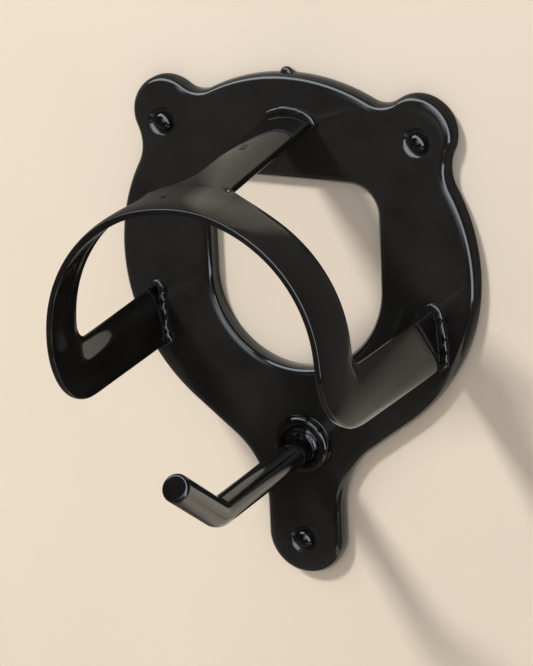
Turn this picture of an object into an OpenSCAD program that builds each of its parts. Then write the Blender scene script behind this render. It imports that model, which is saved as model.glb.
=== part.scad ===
// Wall-mounted bridle rack: a pressed back plate with two ears and a lower tab,
// a bowed band with two side legs and a top arm, and a bent hook rod below it.
// The wall plane is y = 0, the rack stands out towards -Y, and z = 0 is the centre of the plate's disc.

/* [Back plate] */
// Radius of the plate's main disc
disc_r = 75; // [71:0.5:80]
// How far the plate's face stands off the wall
plate_depth = 7; // [6:0.5:10]
// Thickness of the pressed sheet
sheet_t = 2.5; // [1.5:0.25:3]
// Outer radius of the edge that is rolled back to the wall
edge_r = 4; // [3.5:0.25:5]
// Angle from the disc's side up to the centre of each ear
ear_angle = 46.9; // [44:0.1:49]
// How far the centre of each ear lies outside the disc's rim
ear_out = 1.7; // [0:0.1:3]
// Radius of each ear
ear_r = 14.6; // [13:0.2:16]
// Radius of the hollow between an ear and the top of the disc
ear_top_fillet = 9.8; // [7:0.2:12]
// Radius of the hollow between an ear and the side of the disc
ear_side_fillet = 16.5; // [12:0.5:22]
// Width of the lower tab
tab_w = 32.6; // [30:0.2:38]
// Distance from the disc's lowest point down to the centre of the tab's round end
tab_reach = 36.3; // [31:0.1:44]
// Radius of the neck between the disc's straight lower flanks and the tab
neck_fillet = 34.5; // [26:0.5:37]
// Distance from the disc's lowest point down to the centres of the two neck radii
neck_reach = 24.3; // [23:0.1:27]

/* [Plate opening] */
// Width of the opening
open_w = 70.4; // [60:0.5:74]
// Height of the opening's flat top above the disc's centre
open_top = 34; // [30:0.5:36]
// Radius of the two upper corners
open_corner_r = 11; // [8:0.5:14]
// Drop from the disc's centre to where the sides turn into the round bottom
open_spring = 6; // [3:0.5:9]

/* [Wall screws] */
// How far each ear's screw sits outwards from the ear's centre
ear_screw_out = 0.8; // [0:0.1:3]
// How far each ear's screw sits below the ear's centre
ear_screw_down = 3; // [0:0.1:5]
// How far the tab's screw sits below the centre of the tab's round end
tab_screw_down = 1.2; // [0:0.1:3]
// Diameter of the domed head
screw_head_d = 8; // [7:0.2:9]
// Height of the domed head
screw_head_h = 3.2; // [2.4:0.1:4]
// Diameter of the neck under the head, which passes through the plate
screw_neck_d = 5; // [4.5:0.1:5.5]
// Diameter of the plain shank in the wall
screw_shank_d = 4; // [3.5:0.1:4.1]
// Length of the plain shank in the wall
screw_plain = 8; // [6:0.5:12]
// Length from under the head to the tip
screw_length = 40; // [35:1:50]
// Radial clearance between a screw's neck and its hole
screw_clearance = 0.25; // [0.1:0.05:0.4]
// Radius of the pressed dimple round each screw
dimple_r = 6; // [5.5:0.1:7]
// Depth of the pressed dimple
dimple_depth = 1.1; // [0.6:0.1:1.5]

/* [Bow] */
// Width of the strip that the bow is made from
strip_w = 23.7; // [21:0.1:26]
// Thickness of the strip
strip_t = 2.5; // [2:0.25:3.5]
// Outer radius of the arch, at the strip's front edge
arch_r = 55.7; // [52:0.1:58]
// Drop from the disc's centre to the centre of the arch
arch_drop = 5.8; // [3:0.1:9]
// Distance from the wall to the front edge of the arch
bow_reach = 100.5; // [90:0.5:110]
// How far the strip is crowned outwards over its width
bow_crown = 0.6; // [0.2:0.1:3]
// Inner radius of the corner between the arch and a leg
corner_r = 6.6; // [5:0.2:10]
// Angle by which each leg spreads outwards on its way to the plate
leg_splay = 2.8; // [2:0.1:4]
// Angle by which each leg climbs on its way to the plate
leg_rise = 0.7; // [0:0.1:3]
// Angle by which the two feet are twisted the same way on the plate, with their lower edges to the right
foot_twist = 5; // [0:0.5:8]
// Angle by which the hand-placed bow is turned on the plate, with its right side up
bow_turn = 1.2; // [0:0.1:3]
// Sideways offset of the bow from the middle
bow_x = 0.2; // [0:0.1:2]

/* [Top arm] */
// Width of the arm
arm_w = 18.6; // [16:0.2:24]
// Height of the arm's side edges above the disc's centre where it meets the plate
arm_z = 58.2; // [55:0.1:60]
// How far the arm is crowned upwards at the plate
arm_crown = 2.8; // [2:0.1:5]
// Sideways offset of the hand-placed arm from the middle
arm_x = 1; // [0:0.1:2]
// Radius of the fillet between the arm and the arch
arm_fillet = 4.5; // [3:0.5:9]
// Length of the weld that joins the arm to the arch
seam_w = 2; // [1.5:0.1:3]
// How far that weld stands proud of the strip
seam_proud = 0.35; // [0.2:0.05:0.6]

/* [Foot welds] */
// Leg length of the fillet weld round each foot
weld_leg = 3; // [2:0.25:4]

/* [Hook] */
// Diameter of the hook rod
rod_d = 11; // [9:0.5:12]
// Sideways offset of the hand-placed hook from the middle
hook_x = 1.2; // [0:0.1:2]
// Drop from the disc's centre to the rod's axis
hook_drop = 73.4; // [72:0.1:75]
// Distance from the wall to the bend, where the two straight axes cross
hook_reach = 80.2; // [70:0.2:90]
// Length of the upturned tip, from that crossing to its end face
tip_length = 38; // [30:0.5:45]
// Upward angle of the tip
tip_angle = 35.5; // [25:0.5:50]
// Centre-line radius of the bend
bend_r = 10; // [8:0.5:14]
// Radius of the rounded rim on the rod's end
rod_rim = 1.5; // [0.8:0.1:2.5]
// Radial clearance between the rod and the plate's hole
rod_clearance = 0.2; // [0.1:0.05:0.4]
// How far the collar's centre sits above the rod's axis
collar_shift = 1.6; // [0:0.1:1.8]
// Outer radius of the collar
collar_r = 11.6; // [11:0.1:13]
// Width of the collar's ring
collar_w = 2.8; // [2:0.1:3]
// Height of the collar above the plate
collar_h = 2.8; // [2:0.1:4]
// Height of the weld round the rod
hook_weld_h = 3.4; // [2:0.1:5]
// Radius of the rivet head that the rod is closed with behind the plate
rivet_r = 8; // [7:0.25:10]
// Thickness of that rivet head
rivet_h = 2; // [1.5:0.25:3]

/* [Coating nib] */
// Radius of the nib left on the top edge where the rack hung for coating
nib_r = 2.7; // [1:0.1:3.5]
// Sideways place of the nib
nib_x = 0.9; // [-5:0.1:5]

/* [Hidden] */
plate_black = [0.12, 0.12, 0.115];
strip_black = [0.17, 0.165, 0.16];
weld_black = [0.24, 0.23, 0.22];
screw_black = [0.3, 0.3, 0.32];
small_fn = 48;
far = 200;

// General helpers
function unit(v) = v / norm(v);
function angle_of(v) = atan2(v[1], v[0]);
function mirrored(p) = [-p[0], p[1], p[2]];
function arc(c, r, from, to, steps) =
    [for (k = [0:steps]) c + r * [cos(from + (to - from) * k / steps), sin(from + (to - from) * k / steps)]];
function tail(list) = [for (k = [1:len(list) - 1]) list[k]];
function flip(list) = [for (k = [len(list) - 1:-1:0]) list[k]];
function ease(u) = let (v = min(1, max(0, u))) v * v * (3 - 2 * v);
function flat(lists) = [for (list = lists) each list];
// Triangles between two rings of n points whose first points have the numbers a and b
function band(a, b, n) =
    [for (i = [0:n - 1]) let (j = (i + 1) % n) each [[a + i, a + j, b + j], [a + i, b + j, b + i]]];
function bands(first, rings, n) = [for (k = [0:rings - 2]) each band(first + k * n, first + (k + 1) * n, n)];

// Flat cap on a ring whose points i and n - 1 - i lie opposite each other across a strip
function cap(first, n) = [for (i = [0:n / 2 - 2]) [for (k = [i, i + 1, n - 2 - i, n - 1 - i]) first + k]];
// Triangles between two outlines that run the same way, always taking the shorter step across.
// Each corner is [which outline, number of the point on it].
function zip(a, b, i = 0, j = 0, made = []) =
    i == len(a) - 1 && j == len(b) - 1 ? made :
    i < len(a) - 1 && (j == len(b) - 1 || norm(a[i + 1] - b[j]) < norm(a[i] - b[j + 1]))
        ? zip(a, b, i + 1, j, concat(made, [[[0, i], [0, i + 1], [1, j]]]))
        : zip(a, b, i, j + 1, concat(made, [[[0, i], [1, j + 1], [1, j]]]));

// Closed solid through a list of rings, with a flat cap at each end
module skin(rings) {
    n = len(rings[0]);
    last = (len(rings) - 1) * n;
    start_cap = [for (quad = cap(0, n)) flip(quad)];
    polyhedron(flat(rings), concat(bands(0, len(rings), n), start_cap, cap(last, n)));
}

// Closed ring-shaped solid through a list of rings that ends where it starts
module skin_loop(rings) {
    n = len(rings[0]);
    last = (len(rings) - 1) * n;
    polyhedron(flat(rings), concat(bands(0, len(rings), n), band(last, 0, n)));
}

// Turns a shape drawn in the plate's plane so that its thickness stands out from the wall
module from_wall() { rotate([90, 0, 0]) children(); }

// Back plate. Outlines are drawn in the plate's plane, x sideways and y up.
// Centre of the circle of radius f that touches two circles from outside, on the side given
function touching(c0, r0, c1, r1, f, side) =
    let (a = r0 + f, b = r1 + f, gap = c1 - c0, dist = norm(gap),
        along = (a * a - b * b + dist * dist) / (2 * dist), across = sqrt(a * a - along * along))
    c0 + unit(gap) * along + side * across * [-unit(gap)[1], unit(gap)[0]];
disc_c = [0, 0];
ear_c = (disc_r + ear_out) * [cos(ear_angle), sin(ear_angle)];
tab_c = [0, -disc_r - tab_reach];
tab_r = tab_w / 2;
top_c = touching(disc_c, disc_r, ear_c, ear_r, ear_top_fillet, 1);
side_c = touching(disc_c, disc_r, ear_c, ear_r, ear_side_fillet, -1);
neck_c = [tab_r + neck_fillet, -disc_r - neck_reach];
flank_turn = acos((disc_r + neck_fillet) / norm(neck_c));
open_r = open_w / 2;
open_corner = [open_r - open_corner_r, open_top - open_corner_r];
ear_screw = ear_c + [ear_screw_out, -ear_screw_down];
screw_places = [[-ear_screw[0], ear_screw[1]], ear_screw, tab_c - [0, tab_screw_down]];
screw_hole_r = screw_neck_d / 2 + screw_clearance;
rod_r = rod_d / 2;

// Right half of the plate's outline from the top to the bottom of the tab, drawn in by inset
function half_outline(inset) = concat(
    arc(disc_c, disc_r - inset, 90, angle_of(top_c), 8),
    tail(arc(top_c, ear_top_fillet + inset, angle_of(-top_c), angle_of(ear_c - top_c), 5)),
    tail(arc(ear_c, ear_r - inset, angle_of(top_c - ear_c), angle_of(side_c - ear_c), 11)),
    tail(arc(side_c, ear_side_fillet + inset, angle_of(ear_c - side_c), 360 + angle_of(-side_c), 5)),
    tail(arc(disc_c, disc_r - inset, angle_of(side_c), angle_of(neck_c) + flank_turn, 16)),
    arc(neck_c, neck_fillet + inset, angle_of(-neck_c) + flank_turn, 180, 8),
    arc(tab_c, tab_r - inset, 0, -90, 8));
// Right half of the opening's outline from the top to the bottom, widened by outset
function half_opening(outset) = concat(
    [[0, open_top + outset]],
    arc(open_corner, open_corner_r + outset, 90, 0, 6),
    arc([0, -open_spring], open_r + outset, 0, -90, 12));
function whole(half) = concat(half, [for (k = [len(half) - 2:-1:1]) [-half[k][0], half[k][1]]]);
// Section of the rolled edge from the back of the sheet round to its face, as [distance in, height]
edge_profile = concat(
    arc([edge_r, plate_depth - edge_r], edge_r - sheet_t, 90, 180, 3),
    [[sheet_t, 0], [0, 0]],
    arc([edge_r, plate_depth - edge_r], edge_r, 180, 90, 4));

module pressed_sheet() {
    outer = [for (p = edge_profile) [for (q = whole(half_outline(p[0]))) [q[0], q[1], p[1]]]];
    inner = [for (p = flip(edge_profile)) [for (q = whole(half_opening(p[0]))) [q[0], q[1], p[1]]]];
    rings = len(edge_profile);
    no = len(outer[0]);
    ni = len(inner[0]);
    start = rings * no;
    right = zip(half_outline(edge_r), half_opening(edge_r));
    // Triangles of the right half of a flat side, from the numbers of its two outlines' first points
    function right_side(first_o, first_i) =
        [for (t = right) [for (q = t) q[0] == 0 ? first_o + q[1] : first_i + q[1]]];
    function left_side(first_o, first_i) =
        [for (t = right) [for (q = flip(t)) q[0] == 0 ? first_o + (no - q[1]) % no : first_i + (ni - q[1]) % ni]];
    function flat_side(first_o, first_i) = concat(right_side(first_o, first_i), left_side(first_o, first_i));
    back_side = [for (t = flat_side(0, start + (rings - 1) * ni)) flip(t)];
    polyhedron(flat(concat(outer, inner)), concat(bands(0, rings, no), bands(start, rings, ni),
        flat_side(start - no, start), back_side));
}

module back_plate() {
    color(plate_black) from_wall() difference() {
        union() {
            pressed_sheet();
            translate([nib_x, disc_r - edge_r / 4, plate_depth - edge_r]) sphere(r = nib_r, $fn = small_fn);
        }
        for (place = screw_places) translate([place[0], place[1], 0]) {
            cylinder(r = screw_hole_r, h = far, center = true, $fn = small_fn);
            translate([0, 0, plate_depth - dimple_depth])
                cylinder(r1 = screw_head_d / 2 + screw_clearance, r2 = dimple_r, h = dimple_depth, $fn = small_fn);
        }
        translate([hook_x, -hook_drop, 0])
            cylinder(r = rod_r + rod_clearance, h = far, center = true, $fn = small_fn);
    }
}

// Section of a crowned strip with rounded edges, as [across, outwards] from the middle of its edges
function section(width, crown) =
    let (half = width / 2, r = strip_t / 3, top = strip_t / 2,
        span = [for (k = [0:6]) (half - r) * (k / 3 - 1)],
        right_edge = [for (k = [1:2]) [half - r + r * sin(45 * k), top - r + r * cos(45 * k)]],
        left_edge = [for (p = flip(right_edge)) [-p[0], p[1]]],
        upper = concat(left_edge, [for (a = span) [a, top]], right_edge),
        lower = [for (p = flip(upper)) [p[0], -p[1]]])
    [for (p = concat(upper, lower)) [p[0], p[1] + crown * (1 - pow(p[0] / half, 2))]];
function placed(outline, c, across, out) = [for (p = outline) c + p[0] * across + p[1] * out];

// Bow. The strip's middle runs over the arch, round the corner in its own plane and back to the plate.
band_y = strip_w / 2 - bow_reach;
arch_mid_r = arch_r - strip_t / 2;
corner_mid_r = corner_r + strip_w / 2;
leg_way = [sin(leg_splay), cos(leg_splay), 0];
leg_out = [cos(leg_splay), -sin(leg_splay), 0];
corner_c = [arch_mid_r, band_y, -arch_drop] + corner_mid_r * leg_way;
bow_section = section(strip_w, bow_crown);
arch_steps = 15;
corner_steps = 9;
leg_ys = [0.15, 0.35, 0.55, 0.75, 0.9];

function arch_ring(angle) =
    let (turn = leg_splay * (1 - ease(angle / 60)), out = [cos(angle), 0, sin(angle)],
        across = unit([sin(turn) * cos(angle), cos(turn), sin(turn) * sin(angle)]))
    placed(bow_section, [0, band_y, -arch_drop] + arch_mid_r * out, across,
        unit(out - (out * across) * across));
function corner_inwards(angle) = cos(angle) * leg_way + sin(angle) * [0, 0, 1];
function corner_ring(angle) =
    placed(bow_section, corner_c - corner_mid_r * corner_inwards(angle), corner_inwards(angle), leg_out);
// Ring of the leg in the plane at the given distance from the wall. The twist ends where the weld starts.
leg_start = corner_c - corner_mid_r * corner_inwards(90 + leg_rise);
leg_far = -leg_start[1];
leg_course = cos(leg_rise) * leg_way + [0, 0, sin(leg_rise)];
weld_y = plate_depth + weld_leg;
function leg_ring(y, twist) =
    let (lean = twist * ease((leg_far - y) / (leg_far - weld_y)))
    placed(bow_section, leg_start + (leg_far - y) * leg_course / leg_course[1],
        [-sin(lean), 0, cos(lean)], [cos(lean), 0, sin(lean)]);
function leg_rings(twist) = concat(
    [for (u = leg_ys) leg_ring(leg_far + (plate_depth - leg_far) * u, twist)],
    [leg_ring(weld_y, twist), leg_ring(plate_depth, twist)]);
half_arch = [for (k = [arch_steps:-1:0]) arch_ring(90 * k / arch_steps)];
corner_rings = [for (k = [1:corner_steps]) corner_ring((90 + leg_rise) * k / corner_steps)];
// Puts what is drawn round the middle where the hand-placed bow stands
module bow_placed() {
    translate([bow_x, 0, -arch_drop]) rotate([0, -bow_turn, 0]) translate([0, 0, arch_drop]) children();
}

module bow() {
    right_half = concat(half_arch, corner_rings, leg_rings(foot_twist));
    left_half = [for (ring = tail(concat(half_arch, corner_rings, leg_rings(-foot_twist))))
        [for (p = ring) mirrored(p)]];
    color(strip_black) bow_placed() skin(concat(flip(right_half), left_half));
}

// Top arm, from the weld at the arch's rear edge straight back and up to the plate
arm_front = bow_reach - strip_w;
function arm_half(y) =
    let (s = min(arm_fillet, arm_front - y), spread = arm_fillet - sqrt(pow(arm_fillet, 2) - pow(arm_fillet - s, 2)))
    arm_w / 2 + spread;
function arch_sag(half) = arch_mid_r - sqrt(pow(arch_mid_r, 2) - pow(half, 2));
function arm_ring(y, proud) =
    let (half = arm_half(y), u = (arm_front - y) / (arm_front - plate_depth),
        v = (arm_front - max(y, weld_y)) / (arm_front - weld_y), crown = arch_sag(half) * (1 - v) + arm_crown * v,
        crest = (arch_mid_r - arch_drop) * (1 - u) + (arm_z - strip_t / 2 + arm_crown) * u,
        outline = section(2 * half, crown))
    [for (p = outline) [p[0], -y, crest - crown + p[1] + proud * sign(p[1] - crown * (1 - pow(p[0] / half, 2)))]];
arm_ys = concat(
    [for (k = [0:5]) arm_front - seam_w - (arm_fillet - seam_w) * k / 5],
    [for (k = [1:5]) (arm_front - arm_fillet) + (weld_y - arm_front + arm_fillet) * k / 5],
    [plate_depth]);

module top_arm() {
    color(strip_black) translate([arm_x, 0, 0]) skin([for (y = arm_ys) arm_ring(y, 0)]);
}

module arm_seam_weld() {
    color(weld_black) translate([arm_x, 0, 0])
        skin([for (k = [0:4]) arm_ring(arm_front - seam_w * k / 4, seam_proud * sin(45 * k))]);
}

// Fillet weld round the foot of a strip, from two rings of the strip's own skin
function weld_ring(at_plate, off_plate, i) =
    let (n = len(at_plate), way = at_plate[(i + 1) % n] - at_plate[(i + n - 1) % n],
        out = unit([-way[2], 0, way[0]]))
    [at_plate[i], off_plate[i], at_plate[i] + weld_leg * (0.4 * out + [0, -0.8, 0]),
        at_plate[i] + weld_leg * (0.75 * out + [0, -0.45, 0]), at_plate[i] + weld_leg * out];
module foot_weld(at_plate, off_plate) {
    color(weld_black) skin_loop([for (i = [0:len(at_plate) - 1]) weld_ring(at_plate, off_plate, i)]);
}
module leg_weld(twist) { foot_weld(flip(leg_ring(plate_depth, twist)), flip(leg_ring(weld_y, twist))); }

module right_foot_weld() { bow_placed() leg_weld(foot_twist); }
module left_foot_weld() { bow_placed() mirror([1, 0, 0]) leg_weld(-foot_twist); }
module top_foot_weld() { translate([arm_x, 0, 0]) foot_weld(arm_ring(plate_depth, 0), arm_ring(weld_y, 0)); }

// Hook, along z from the plate and bent upwards at its end. The tip starts a little inside the bend
// and is a hair thinner than it, so that the two fuse into one solid.
tip_lap = 0.3;
tip_slim = 0.02;
module rounded_rod(r, length) {
    rotate_extrude($fn = small_fn) {
        square([r - rod_rim, length]);
        square([r, length - rod_rim]);
        translate([r - rod_rim, length - rod_rim]) circle(r = rod_rim, $fn = small_fn);
    }
}

module hook_rod() {
    tangent = bend_r * tan(tip_angle / 2);
    face_back = plate_depth - sheet_t;
    color(strip_black) from_wall() translate([hook_x, -hook_drop, 0]) {
        translate([0, 0, face_back - rivet_h]) cylinder(r = rivet_r, h = rivet_h, $fn = small_fn);
        translate([0, 0, face_back]) cylinder(r = rod_r, h = hook_reach - tangent - face_back, $fn = small_fn);
        translate([0, bend_r, hook_reach - tangent]) rotate([0, -90, 0]) rotate([0, 0, -90])
            rotate_extrude(angle = tip_angle, $fn = 2 * small_fn)
                translate([bend_r, 0]) circle(r = rod_r, $fn = small_fn);
        translate([0, 0, hook_reach]) rotate([-tip_angle, 0, 0]) translate([0, 0, tangent - tip_lap])
            rounded_rod(rod_r - tip_slim, tip_length - tangent + tip_lap);
    }
}

module hook_collar() {
    color(strip_black) from_wall() translate([hook_x, collar_shift - hook_drop, plate_depth]) rotate_extrude($fn = small_fn) {
        translate([collar_r - collar_w, 0]) square([collar_w, collar_h - collar_w / 2]);
        translate([collar_r - collar_w / 2, collar_h - collar_w / 2]) circle(d = collar_w, $fn = small_fn);
    }
}

module hook_weld() {
    dish_r = collar_r - collar_w;
    bead_w = dish_r - collar_shift - rod_r;
    color(weld_black) from_wall() translate([hook_x, -hook_drop, plate_depth]) difference() {
        union() {
            translate([0, collar_shift, 0]) cylinder(r = dish_r, h = collar_h / 2, $fn = small_fn);
            cylinder(r1 = rod_r + bead_w, r2 = rod_r + bead_w / 2, h = hook_weld_h, $fn = small_fn);
        }
        cylinder(r = rod_r, h = far, center = true, $fn = small_fn);
    }
}

// Round-head wood screw, seated in its dimple
thread_pitch = 2.2;
thread_depth = 0.6;
point_length = 6;
function thread_profile() =
    let (neck_r = screw_neck_d / 2, neck_end = plate_depth - dimple_depth, r = screw_shank_d / 2,
        start = neck_end + screw_plain, end = screw_length - point_length,
        turns = floor((end - start) / thread_pitch))
    concat([[0, 0], [neck_r, 0], [neck_r, -neck_end], [r, -neck_end], [r, -start]],
        flat([for (k = [0:turns - 1]) [[r - thread_depth, -start - thread_pitch * (k + 0.25)],
            [r - thread_depth, -start - thread_pitch * (k + 0.75)], [r, -start - thread_pitch * (k + 1)]]]),
        [[r - thread_depth, -end - thread_pitch / 2], [0, -screw_length]]);

module dome() {
    head_r = screw_head_d / 2;
    sphere_r = (head_r * head_r + screw_head_h * screw_head_h) / (2 * screw_head_h);
    intersection() {
        translate([0, 0, screw_head_h - sphere_r]) sphere(r = sphere_r, $fn = small_fn);
        cylinder(r = head_r, h = screw_head_h + 1, $fn = small_fn);
    }
}

module screw(place) {
    color(screw_black) from_wall() translate([place[0], place[1], plate_depth - dimple_depth]) {
        dome();
        rotate_extrude($fn = small_fn) polygon(thread_profile());
    }
}
module left_screw() { screw(screw_places[0]); }
module right_screw() { screw(screw_places[1]); }
module lower_screw() { screw(screw_places[2]); }

back_plate();
bow();
top_arm();
arm_seam_weld();
top_foot_weld();
left_foot_weld();
right_foot_weld();
hook_rod();
hook_collar();
hook_weld();
left_screw();
right_screw();
lower_screw();
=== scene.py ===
import math

import bmesh
import bpy
from mathutils import Matrix, Vector, noise
from mathutils.geometry import delaunay_2d_cdt


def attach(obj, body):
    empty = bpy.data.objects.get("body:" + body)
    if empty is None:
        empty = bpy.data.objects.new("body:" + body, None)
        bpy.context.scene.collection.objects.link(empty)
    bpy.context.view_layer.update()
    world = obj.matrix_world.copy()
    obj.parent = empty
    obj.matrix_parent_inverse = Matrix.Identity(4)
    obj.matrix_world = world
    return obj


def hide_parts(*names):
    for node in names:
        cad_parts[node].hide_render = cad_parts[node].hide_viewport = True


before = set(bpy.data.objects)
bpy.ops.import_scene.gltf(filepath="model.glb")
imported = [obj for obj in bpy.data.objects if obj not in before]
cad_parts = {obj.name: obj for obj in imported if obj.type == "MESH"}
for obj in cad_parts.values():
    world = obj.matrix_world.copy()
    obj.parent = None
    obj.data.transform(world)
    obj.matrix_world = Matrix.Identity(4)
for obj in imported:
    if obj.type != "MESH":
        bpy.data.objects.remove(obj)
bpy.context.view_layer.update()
mm = 0.001
tiny = 0.01 * mm  # nearly a point, where a skin closes
print("frame loaded")


# Helpers. Angles are in degrees and the wall is y = 0, with the rack towards -Y.

def turned(degrees):
    return Vector((math.cos(math.radians(degrees)), math.sin(math.radians(degrees))))


def ease(value):
    clipped = min(1.0, max(0.0, value))
    return clipped * clipped * (3 - 2 * clipped)


def bell(distance, width):
    return math.exp(-(distance / width) ** 2)


def arcAngles(start, end, radius, spacing):
    count = max(2, math.ceil(abs(math.radians(end - start)) * radius / spacing))
    return [start + (end - start) * k / count for k in range(count + 1)]


def makeObject(name, vertices, faces):
    mesh = bpy.data.meshes.new(name)
    mesh.from_pydata([tuple(v) for v in vertices], [], faces)
    mesh.shade_smooth()
    mesh.set_sharp_from_angle(angle=math.radians(50))
    piece = bpy.data.objects.new(name, mesh)
    bpy.context.scene.collection.objects.link(piece)
    return piece


def ringFaces(ringCount, n, closedAlong):
    faces = []
    for r in range(ringCount if closedAlong else ringCount - 1):
        a, b = r * n, (r + 1) % ringCount * n
        faces += [(a + i, a + (i + 1) % n, b + (i + 1) % n, b + i) for i in range(n)]
    return faces


def sweep(rings, closedAlong=False, capped=False):
    # vertices and faces of a skin through rings of points
    n = len(rings[0])
    vertices = [v for ring in rings for v in ring]
    faces = ringFaces(len(rings), n, closedAlong)
    if capped:
        faces += [tuple(range(n - 1, -1, -1)), tuple(range(len(vertices) - n, len(vertices)))]
    return vertices, faces


def place(x, up, out):
    # a point by its sideways and upward distances and how far it stands off the wall
    return Vector((x, -out, up))


def revolveFromWall(centre, profile, segments):
    # rings of a profile of (radius, out) round an axis that stands on the wall at centre
    ways = [turned(360 * k / segments) for k in range(segments)]
    return [[place(centre[0] + r * way[0], centre[1] + r * way[1], out) for way in ways]
            for r, out in profile]


# Materials

def newGroup(name, inputs, outputs):
    group = bpy.data.node_groups.new(name, "ShaderNodeTree")
    for label, kind in inputs:
        group.interface.new_socket(name=label, in_out="INPUT", socket_type=kind)
    for label, kind in outputs:
        group.interface.new_socket(name=label, in_out="OUTPUT", socket_type=kind)
    return group, group.nodes.new("NodeGroupInput"), group.nodes.new("NodeGroupOutput")


def addNode(tree, kind, **settings):
    node = tree.nodes.new(kind)
    for key, value in settings.items():
        if key in node.inputs.keys():
            node.inputs[key].default_value = value
        else:
            setattr(node, key, value)
    return node


def noiseNode(tree, coordinates, scale, detail=2.0, roughness=0.5):
    node = addNode(tree, "ShaderNodeTexNoise", Scale=scale, Detail=detail, Roughness=roughness)
    tree.links.new(coordinates, node.inputs["Vector"])
    return node.outputs["Fac"]


def rangeNode(tree, value, low, high, toLow, toHigh):
    node = addNode(tree, "ShaderNodeMapRange")
    node.inputs["From Min"].default_value = low
    node.inputs["From Max"].default_value = high
    for label, end in (("To Min", toLow), ("To Max", toHigh)):
        if isinstance(end, (int, float)):
            node.inputs[label].default_value = end
        else:
            tree.links.new(end, node.inputs[label])
    tree.links.new(value, node.inputs["Value"])
    return node.outputs["Result"]


def mathNode(tree, operation, a, b):
    node = addNode(tree, "ShaderNodeMath", operation=operation)
    for socket, value in zip(node.inputs, (a, b)):
        if isinstance(value, (int, float)):
            socket.default_value = value
        else:
            tree.links.new(value, socket)
    return node.outputs["Value"]


coating = {
    "patchScale": 55.0, "patchTint": (0.8, 1.25), "wipeScale": 28.0, "wipeRise": 0.05,
    "speckScale": 900.0, "speckRise": 0.12, "peelScale": 520.0, "peelHeight": 0.16,
    "waveScale": 70.0, "relief": 0.12 * mm,
}


def coatGroup():
    # thick powder coat: slightly uneven colour and gloss, orange peel, and a slow waviness under it
    group, given, result = newGroup(
        "thickCoat",
        [("Base", "NodeSocketColor"), ("Gloss Roughness", "NodeSocketFloat"), ("Peel", "NodeSocketFloat")],
        [("Color", "NodeSocketColor"), ("Roughness", "NodeSocketFloat"), ("Normal", "NodeSocketVector")])
    where = addNode(group, "ShaderNodeTexCoord").outputs["Object"]
    patches = noiseNode(group, where, coating["patchScale"], 3.0)
    tint = addNode(group, "ShaderNodeHueSaturation")
    group.links.new(given.outputs["Base"], tint.inputs["Color"])
    group.links.new(rangeNode(group, patches, 0.3, 0.7, *coating["patchTint"]), tint.inputs["Value"])
    group.links.new(tint.outputs["Color"], result.inputs["Color"])
    wiped = rangeNode(group, noiseNode(group, where, coating["wipeScale"], 5.0, 0.65), 0.52, 0.72, 0.0, 1.0)
    specks = noiseNode(group, where, coating["speckScale"], 1.0)
    specks = rangeNode(group, specks, 0.66, 0.72, 0.0, coating["speckRise"])
    rise = mathNode(group, "ADD", mathNode(group, "MULTIPLY", wiped, coating["wipeRise"]), specks)
    roughness = mathNode(group, "ADD", given.outputs["Gloss Roughness"], rise)
    group.links.new(roughness, result.inputs["Roughness"])
    peel = noiseNode(group, where, coating["peelScale"], 1.5)
    wave = noiseNode(group, where, coating["waveScale"], 1.0)
    height = mathNode(group, "ADD", mathNode(group, "MULTIPLY", peel, coating["peelHeight"]), wave)
    relief = addNode(group, "ShaderNodeBump", Distance=coating["relief"])
    group.links.new(given.outputs["Peel"], relief.inputs["Strength"])
    group.links.new(height, relief.inputs["Height"])
    group.links.new(relief.outputs["Normal"], result.inputs["Normal"])
    return group


thickCoat = coatGroup()


def coatMaterial(name, color, roughness, peel):
    material = bpy.data.materials.new(name)
    material.use_nodes = True
    tree = material.node_tree
    shader = tree.nodes["Principled BSDF"]
    coat = addNode(tree, "ShaderNodeGroup", node_tree=thickCoat)
    coat.inputs["Base"].default_value = (*color, 1)
    coat.inputs["Gloss Roughness"].default_value = roughness
    coat.inputs["Peel"].default_value = peel
    tree.links.new(coat.outputs["Color"], shader.inputs["Base Color"])
    tree.links.new(coat.outputs["Roughness"], shader.inputs["Roughness"])
    tree.links.new(coat.outputs["Normal"], shader.inputs["Normal"])
    return material


# Each slot's material: its name, colour, gloss roughness and strength of the orange peel. The plate, strips,
# weld and rod wear one black powder coat; the plate's colour is lighter as painted light, and the strips',
# weld's and rod's are darker as painted shade
coats = {
    "plate_coating": ("plateCoating", (0.0145, 0.0145, 0.0138), 0.07, 0.25),
    "strip_coating": ("stripCoating", (0.009, 0.0088, 0.0083), 0.05, 0.2),
    "weld_coating": ("weldCoating", (0.011, 0.011, 0.0105), 0.03, 0.12),
    "rod_coating": ("rodCoating", (0.008, 0.0079, 0.0075), 0.04, 0.15),
    "screw_black": ("screwBlack", (0.005, 0.005, 0.0052), 0.03, 0.06),
}
materials = {slot: coatMaterial(*values) for slot, values in coats.items()}


def finishPiece(piece, slot, *nodes):
    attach(piece, "root")
    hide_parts(*nodes)
    piece.data.materials.append(materials[slot])
    return piece


print("materials made")

# Back plate: a pressed sheet with its edges rolled back to the wall

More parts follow.
